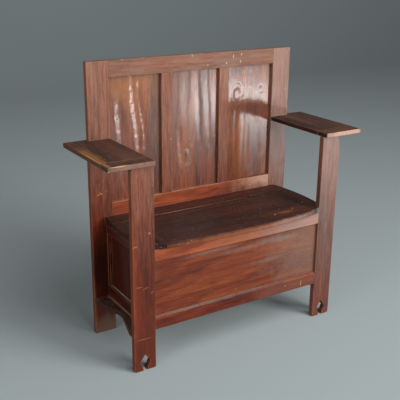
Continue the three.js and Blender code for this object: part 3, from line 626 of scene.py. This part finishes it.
def cast_brass():
    """Brass, cast and left to age: a dull dark brown with grime in its hollows, and a yellow
    metal shine only where it is rubbed."""
    material, tree, shader = new_material("aged_cast_brass")
    place = add(tree, "TexCoord", out="Object")
    # Spots of tarnish, 4 mm across
    patina = add(tree, "TexNoise", {"Vector": place, "Scale": 260, "Detail": 5, "Roughness": 0.7})
    colour = add(
        tree, "ValToRGB", [patina],
        stops=[(0.3, "#2e2115"), (0.75, "#7d6238"), (0.55, "#4e3b22")],
    )
    grime = add(tree, "MapRange", [patina, 0.62, 0.48], **SMOOTH)
    rubbed = worn_edges(tree, place, 0.6, 0.6)
    colour = overlaid(tree, colour, [(grime, "#3b271d"), (rubbed, "#9a7c48")])
    tree.links.new(colour, shader.inputs["Base Color"])
    metal = add(tree, "Math", [grime, -0.9, 1.0], operation="MULTIPLY_ADD")
    metal = add(tree, "Math", [metal, rubbed], operation="ADD")
    metal = add(tree, "MapRange", [metal, 0, 1], **SMOOTH)
    tree.links.new(metal, shader.inputs["Metallic"])
    roughness = add(tree, "MapRange", [patina, 0.3, 0.7, 0.7, 0.5], **SMOOTH)
    tree.links.new(roughness, shader.inputs["Roughness"])
    bump = add(tree, "Bump", {"Strength": 0.4, "Distance": 0.1 * MM, "Height": patina})
    tree.links.new(bump, shader.inputs["Normal"])
    return material


def finish_nodes(brass):
    for name, node in frame["nodes"].items():
        node.data.materials.clear()
        node.data.materials.append(FINISHES.get(name, brass))


# Worn timbers


def chipped_mahogany(name, tones):
    """Mahogany where a knock has torn the shellac off: paler, dry and fibrous."""
    material, tree, shader = new_material(name)
    place = add(tree, "TexCoord", out="Object")
    # Torn fibres in tufts of 2.4 mm, down to 0.2 mm
    fibres = add(tree, "TexNoise", {"Vector": place, "Scale": 420, "Detail": 4, "Roughness": 0.7})
    dark, middle, light = tones
    colour = add(
        tree, "ValToRGB", [fibres], stops=[(0.3, dark), (0.7, light), (0.5, middle)]
    )
    tree.links.new(colour, shader.inputs["Base Color"])
    shader.inputs["Roughness"].default_value = 0.75
    bump = add(tree, "Bump", {"Strength": 0.5, "Distance": 0.2 * MM, "Height": fibres})
    tree.links.new(bump, shader.inputs["Normal"])
    return material


def cad_copy(node, name):
    """A piece of its own with the shape of a CAD node."""
    obj = bpy.data.objects.new(name, frame["nodes"][node].data.copy())
    bpy.context.scene.collection.objects.link(obj)
    alone(obj)
    bpy.ops.mesh.customdata_custom_splitnormals_clear()
    bpy.ops.object.mode_set(mode="EDIT")
    bpy.ops.mesh.select_all(action="SELECT")
    bpy.ops.mesh.remove_doubles(threshold=0.002 * MM)
    bpy.ops.object.mode_set(mode="OBJECT")
    return obj


def scoop(place, size, turn):
    """A small ellipsoid, whose cut looks like a knock."""
    bpy.ops.mesh.primitive_uv_sphere_add(
        segments=12, ring_count=7, radius=0.5, location=place, rotation=turn
    )
    bpy.context.object.scale = size
    return bpy.context.object


def cut_with(obj, cutters, inside):
    """Cuts the cutters out of a piece, and lines the cuts with a material."""
    bpy.ops.object.select_all(action="DESELECT")
    for cutter in cutters:
        cutter.select_set(True)
    bpy.context.view_layer.objects.active = cutters[0]
    bpy.ops.object.transform_apply(location=True, rotation=True, scale=True)
    bpy.ops.object.join()
    tool = bpy.context.object
    tool.data.materials.append(inside)
    alone(obj)
    modifier = obj.modifiers.new("knocks", "BOOLEAN")
    modifier.object = tool
    modifier.operation = "DIFFERENCE"
    modifier.solver = "EXACT"
    modifier.use_self = True
    modifier.material_mode = "TRANSFER"
    bpy.ops.object.modifier_apply(modifier="knocks")
    bpy.data.objects.remove(tool)


# How round the arrises are, in millimetres
ARRIS_RADIUS = 0.8
# Knocks on the arrises: the least and greatest length and depth in millimetres, and how far in
# metres they keep from a timber's ends
KNOCK_LENGTHS = (4, 14)
KNOCK_DEPTHS = (1.6, 3.2)
KNOCK_MARGIN = 0.02


def edge_knocks(node, count, chance):
    """Scoops along a timber's long arrises, at random places."""
    low, high = (list(corner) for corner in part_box(node))
    along = max(range(3), key=lambda axis: high[axis] - low[axis])
    across = [axis for axis in range(3) if axis != along]
    knocks = []
    for _ in range(count):
        place = [0, 0, 0]
        place[along] = chance.uniform(low[along] + KNOCK_MARGIN, high[along] - KNOCK_MARGIN)
        for axis in across:
            place[axis] = chance.choice((low[axis], high[axis]))
        size = [0, 0, 0]
        size[along] = chance.uniform(*KNOCK_LENGTHS) * MM
        for axis in across:
            size[axis] = chance.uniform(*KNOCK_DEPTHS) * MM
        knocks.append(scoop(place, size, (0, 0, 0)))
    return knocks


# Knocks on the faces: node, place in metres, then length, width and twice the depth in
# millimetres, and how far the length is turned from level in degrees
FACE_KNOCKS = [
    ("back_top_rail", (0.158, 0.160, 0.967), (13, 4, 1.2), 82),
    ("back_top_rail", (0.194, 0.160, 0.972), (11, 3.5, 1.0), 60),
    ("back_top_rail", (0.190, 0.160, 0.946), (9, 5, 1.2), 75),
    ("back_top_rail", (0.129, 0.160, 0.944), (6, 5, 1.0), 20),
    ("back_top_rail", (0.048, 0.160, 0.942), (6, 3, 0.8), 10),
    ("back_top_rail", (-0.017, 0.160, 0.978), (7, 3, 0.8), 60),
    ("back_stile_right", (0.401, 0.160, 0.826), (4, 4, 1.0), 0),
    ("back_muntin_1", (-0.103, 0.160, 0.692), (10, 3, 1.0), 5),
    ("back_stile_left", (-0.392, 0.160, 0.530), (13, 5, 1.8), 15),
    ("back_stile_left", (-0.382, 0.160, 0.533), (16, 5, 1.8), -35),
    ("back_stile_left", (-0.361, 0.160, 0.538), (4, 4, 1.2), 0),
    ("front_post_left", (-0.360, -0.147, 0.487), (7, 6.5, 1.0), 0),
    ("front_post_left", (-0.416, -0.147, 0.449), (11, 3, 1.4), 20),
    ("front_post_left", (-0.408, -0.147, 0.450), (9, 3, 1.4), -40),
    ("front_post_left", (-0.400, -0.147, 0.308), (26, 1.2, 0.9), -4),
    ("front_post_left", (-0.376, -0.147, 0.300), (24, 1.2, 0.9), 12),
    ("front_post_left", (-0.352, -0.147, 0.281), (14, 1.4, 0.9), 35),
    ("front_post_left", (-0.385, -0.147, 0.118), (58, 1.2, 0.7), -2),
    ("front_top_rail", (-0.204, -0.147, 0.384), (6, 5, 1.2), 0),
    ("front_bottom_rail", (0.275, -0.147, 0.160), (24, 2.5, 1.0), 88),
    ("front_bottom_rail", (0.20, -0.147, 0.166), (5, 3, 0.8), 0),
]
# A shake, where the timber has split along its grain: place, size and turn of the cut
SHAKES = {
    "arm_board_left": ((-0.470, -0.018, 0.7243), (3 * MM, 185 * MM, 5 * MM), (0, 0, 0.01)),
}
# Timbers whose knocks are old and waxed over since
WAXED_OVER = ("back_stile_left", "front_post_left", "front_post_right")
# The timbers whose arrises are rounded, each with the number of knocks along its long arrises
WORN = {
    "back_stile_left": 12, "back_stile_right": 12, "back_top_rail": 7, "back_seat_rail": 3,
    "back_bottom_rail": 0, "back_muntin_1": 4, "back_muntin_2": 3, "front_post_left": 14,
    "front_post_right": 12, "front_top_rail": 5, "front_bottom_rail": 6,
    "side_top_rail_left": 0, "side_top_rail_right": 0, "side_bottom_rail_left": 2,
    "side_bottom_rail_right": 2, "side_rear_upright_left": 0, "side_rear_upright_right": 0,
    "side_front_upright_left": 0, "side_front_upright_right": 0, "end_board_left": 3,
    "end_board_right": 3, "seat_hinge_rail": 0, "seat_end_strip_left": 1,
    "seat_end_strip_right": 1, "lid_board": 5, "lid_cleat_left": 1, "lid_cleat_right": 1,
    "arm_board_left": 5, "arm_board_right": 4, "arm_cleat_left": 4, "arm_cleat_right": 3,
}


def round_arrises(obj):
    """Takes the sharpness off, as years of hands and cloths do."""
    modifier = obj.modifiers.new("arrises", "BEVEL")
    modifier.width = ARRIS_RADIUS * MM
    modifier.segments = 2
    modifier.limit_method = "ANGLE"
    modifier.angle_limit = radians(40)
    modifier.use_clamp_overlap = False
    bpy.ops.object.modifier_apply(modifier="arrises")


def wear_timber(node, knocks, bare, chance):
    """Puts a worn timber in the place of a plain one."""
    piece = cad_copy(node, f"{node}_worn")
    piece.data.materials.clear()
    piece.data.materials.append(FINISHES[node])
    round_arrises(piece)
    cutters = edge_knocks(node, knocks, chance)
    for name, place, (length, width, deep), turn in FACE_KNOCKS:
        if name == node:
            size = (length * MM, deep * MM, width * MM)
            cutters.append(scoop(place, size, (0, radians(-turn), 0)))
    if cutters:
        cut_with(piece, cutters, bare)
    if node in SHAKES:
        # Dirt packed into the split: a dark dull line
        dirt = even_finish("packed_dirt", "#1b110c", 0.8)
        cut_with(piece, [scoop(*SHAKES[node])], dirt)
    bpy.ops.object.shade_smooth_by_angle(angle=radians(50))
    normals = piece.modifiers.new("normals", "WEIGHTED_NORMAL")
    normals.keep_sharp = True
    bpy.ops.object.modifier_apply(modifier="normals")
    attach(piece, frame["nodes"][node]["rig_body"])
    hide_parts(node)


def wear_timbers():
    fresh = chipped_mahogany("chipped_mahogany", ("#a87b54", "#caa380", "#e6c9a8"))
    # Wax has soaked into the older knocks, which leaves them browner
    waxed = chipped_mahogany("chipped_mahogany_waxed", ("#7d4a26", "#a9713e", "#c99459"))
    chance = random.Random(7)
    for node, knocks in WORN.items():
        wear_timber(node, knocks, waxed if node in WAXED_OVER else fresh, chance)


# Hinge screws

# Millimetres: how far back each leaf's face lies, the height of the screws, the middle of each
# hinge along the bench, the screws' places from it, and a head's radius, depth and slot
LEAF_FACES = {"rail": 85.0, "lid": 83.4}
SCREW_HEIGHT = 435.5
HINGE_MIDDLES = {"left": -216, "right": 216}
SCREW_SPACING = (-17, 0, 17)
HEAD_RADIUS = 2.8
HEAD_DEPTH = 0.7
SLOT_SIZE = (8, 0.4, 0.8)


def screw_head(brass):
    """The head of a countersunk brass screw, a hair proud of its leaf, with its slot."""
    bpy.ops.mesh.primitive_cylinder_add(
        vertices=24, radius=HEAD_RADIUS * MM, depth=HEAD_DEPTH * MM, rotation=(pi / 2, 0, 0)
    )
    head = bpy.context.object
    bpy.ops.object.transform_apply(location=True, rotation=True, scale=True)
    bpy.ops.object.mode_set(mode="EDIT")
    bpy.ops.mesh.select_all(action="SELECT")
    bpy.ops.mesh.bevel(offset=0.12 * MM, segments=2)
    bpy.ops.object.mode_set(mode="OBJECT")
    bpy.ops.mesh.primitive_cube_add(size=1, location=(0, -HEAD_DEPTH / 2 * MM, 0))
    slot = bpy.context.object
    slot.scale = [side * MM for side in SLOT_SIZE]
    head.data.materials.append(brass)
    cut_with(head, [slot], brass)
    bpy.ops.object.shade_smooth_by_angle(angle=radians(40))
    return head


def add_screws(brass):
    """Three screws in each leaf of the hinges, their slots turned every way."""
    pattern = screw_head(brass)
    chance = random.Random(3)
    for leaf, face in LEAF_FACES.items():
        for side, middle in HINGE_MIDDLES.items():
            for number, along in enumerate(SCREW_SPACING, 1):
                screw = bpy.data.objects.new(
                    f"hinge_{side}_{leaf}_screw_{number}", pattern.data.copy()
                )
                bpy.context.scene.collection.objects.link(screw)
                alone(screw)
                turn = (0, chance.uniform(0, pi), pi if leaf == "lid" else 0)
                screw.rotation_euler = turn
                screw.location = Vector((middle + along, face, SCREW_HEIGHT)) * MM
                bpy.ops.object.transform_apply(location=True, rotation=True, scale=True)
                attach(screw, "frame" if leaf == "rail" else "lid")
    bpy.data.objects.remove(pattern)


# Panels

# The side of a panel's mesh squares, in metres
PANEL_MESH = 3.4 * MM
# Ripples: how far apart, how deep, and how much longer along the grain than across it. Lengths
# here and below are in millimetres
BACK_RIPPLES = [(36, 0.42, 9), (14, 0.14, 7)]
FRONT_RIPPLES = [(60, 1.0, 6), (22, 0.2, 8)]
BACK_STOCK = 3
FRONT_STOCK = 4.6
# Hollows along the grain of the back panels: places (x, z) on each line, reach and depth
HOLLOWS = {
    "left": [
        ([(-286, 560), (-288, 660), (-291, 735), (-295, 790), (-299, 870)], 25, 2.7),
        ([(-223, 600), (-224, 690), (-229, 745), (-237, 800), (-243, 860), (-246, 920)], 19, 2.1),
        ([(-200, 580), (-200, 690), (-206, 750), (-216, 810), (-222, 860), (-224, 940)], 14, 1.8),
        ([(-345, 500), (-342, 640), (-350, 760)], 16, 0.8),
    ],
    "centre": [
        ([(26, 640), (19, 790), (8, 960)], 15, 0.45),
        ([(67, 600), (60, 770), (47, 960)], 16, 0.5),
        ([(-60, 500), (-52, 600), (-62, 720)], 15, 1.1),
        ([(-18, 500), (-10, 660)], 12, 0.7),
    ],
    "right": [
        ([(141, 480), (141, 700), (141, 960)], 70, 0.8),
        ([(186, 480), (183, 700), (190, 860)], 14, 0.5),
        ([(216, 480), (221, 700), (212, 960)], 12, 0.4),
        ([(243, 480), (238, 680), (247, 960)], 14, 0.5),
        ([(281, 400), (285, 600), (279, 800)], 32, 1.3),
    ],
}
# A hollow is pressed this many times, each along this share of its length
PRESSES = (1, 0.75, 0.5)
# How near a hollow's line a point has to lie to be pressed
PRESS_WIDTH = 2
# The ring round a knot: its radius and its depth as shares of the knot's, how much higher than
# wide it is, and how far the press reaches
RING_RADIUS = 0.42
RING_DEPTH = 1 / 80
RING_HEIGHT = 1.6
RING_REACH = 7


def squeeze(obj, axis, share, middle):
    """Draws a mesh in or out along one axis."""
    alone(obj)
    bpy.ops.object.mode_set(mode="EDIT")
    bpy.ops.mesh.select_all(action="SELECT")
    size = [share if name == axis else 1 for name in "xyz"]
    bpy.ops.transform.resize(value=size, center_override=middle)
    bpy.ops.object.mode_set(mode="OBJECT")


def press_ripples(obj, width, depth):
    """Hollows about width apart and up to depth deep, pressed in from the front."""
    texture = bpy.data.textures.new(f"{obj.name}_ripples", "CLOUDS")
    texture.noise_scale = width * MM
    texture.noise_depth = 1
    modifier = obj.modifiers.new("ripples", "DISPLACE")
    modifier.texture = texture
    modifier.texture_coords = "LOCAL"
    modifier.direction = "Y"
    modifier.strength = depth * MM
    modifier.mid_level = 0
    bpy.ops.object.modifier_apply(modifier="ripples")
    bpy.data.textures.remove(texture)


def open_mesh(obj):
    """A piece's mesh, open for editing, with none of its points selected."""
    alone(obj)
    bpy.ops.object.mode_set(mode="EDIT")
    bpy.ops.mesh.select_mode(type="VERT")
    bpy.ops.mesh.select_all(action="DESELECT")
    return bmesh.from_edit_mesh(obj.data)


def press_points(obj, depth, reach):
    """Presses the selected points in, and what lies round them less and less."""
    bmesh.update_edit_mesh(obj.data)
    bpy.ops.transform.translate(
        value=(0, depth * MM, 0), use_proportional_edit=True,
        proportional_size=reach * MM, proportional_edit_falloff="SMOOTH",
    )
    bpy.ops.object.mode_set(mode="OBJECT")


def press_hollow(obj, line, reach, depth):
    """A shallow hollow along a line, in presses of which each is shorter, so that its ends run
    out."""
    middle = (line[0][1] + line[-1][1]) / 2
    for length in PRESSES:
        half = length * (line[-1][1] - line[0][1]) / 2
        mesh = open_mesh(obj)
        for (x0, z0), (x1, z1) in zip(line, line[1:]):
            for vert in mesh.verts:
                x, z = vert.co.x / MM, vert.co.z / MM
                share = (z - z0) / (z1 - z0)
                near = abs(x - x0 - share * (x1 - x0)) < PRESS_WIDTH and abs(z - middle) < half
                if 0 <= share <= 1 and near:
                    vert.select_set(True)
        press_points(obj, depth / len(PRESSES), reach)


def press_knot(obj, knot, radius):
    """A shallow ring round a knot, where the board has shrunk unevenly."""
    mesh = open_mesh(obj)
    for vert in mesh.verts:
        away = (vert.co - Vector(knot)) / (RING_RADIUS * radius * MM)
        vert.select_set(0.75 < Vector((away.x, away.z / RING_HEIGHT)).length < 1.25)
    press_points(obj, radius * RING_DEPTH, RING_REACH)


def rippled_panel(node, grain, stock, ripples, hollows=()):
    """A board that has moved over the years, so that its polished face is not quite flat."""
    low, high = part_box(node)
    middle = (low + high) / 2
    size = high - low
    bpy.ops.mesh.primitive_grid_add(
        x_subdivisions=int(size.x / PANEL_MESH), y_subdivisions=int(size.z / PANEL_MESH),
        size=1, location=(middle.x, low.y, middle.z), rotation=(pi / 2, 0, 0),
    )
    panel = bpy.context.object
    panel.name = f"{node}_polished"
    panel.scale = (size.x, size.z, 1)
    alone(panel)
    bpy.ops.object.transform_apply(location=True, rotation=True, scale=True)
    for width, depth, stretch in ripples:
        squeeze(panel, grain, 1 / stretch, middle)
        press_ripples(panel, width, depth)
        squeeze(panel, grain, stretch, middle)
    for line, reach, depth in hollows:
        press_hollow(panel, line, reach, depth)
    for knot, radius in KNOTS.get(node, ()):
        press_knot(panel, knot, radius)
    solid = panel.modifiers.new("stock", "SOLIDIFY")
    solid.thickness = stock * MM
    solid.offset = -1
    alone(panel)
    bpy.ops.object.modifier_apply(modifier="stock")
    bpy.ops.object.shade_smooth_by_angle(angle=radians(30))
    panel.data.materials.append(FINISHES[node])
    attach(panel, "frame")
    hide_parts(node)


def make_panels():
    for name, hollows in HOLLOWS.items():
        rippled_panel(f"back_panel_{name}", "z", BACK_STOCK, BACK_RIPPLES, hollows)
    rippled_panel("front_panel", "x", FRONT_STOCK, FRONT_RIPPLES)


bpy.context.scene.view_settings.view_transform = "Standard"
set_camera()
add_floor()
set_light()
make_finishes()
hinge_brass = cast_brass()
finish_nodes(hinge_brass)
wear_timbers()
add_screws(hinge_brass)
make_panels()
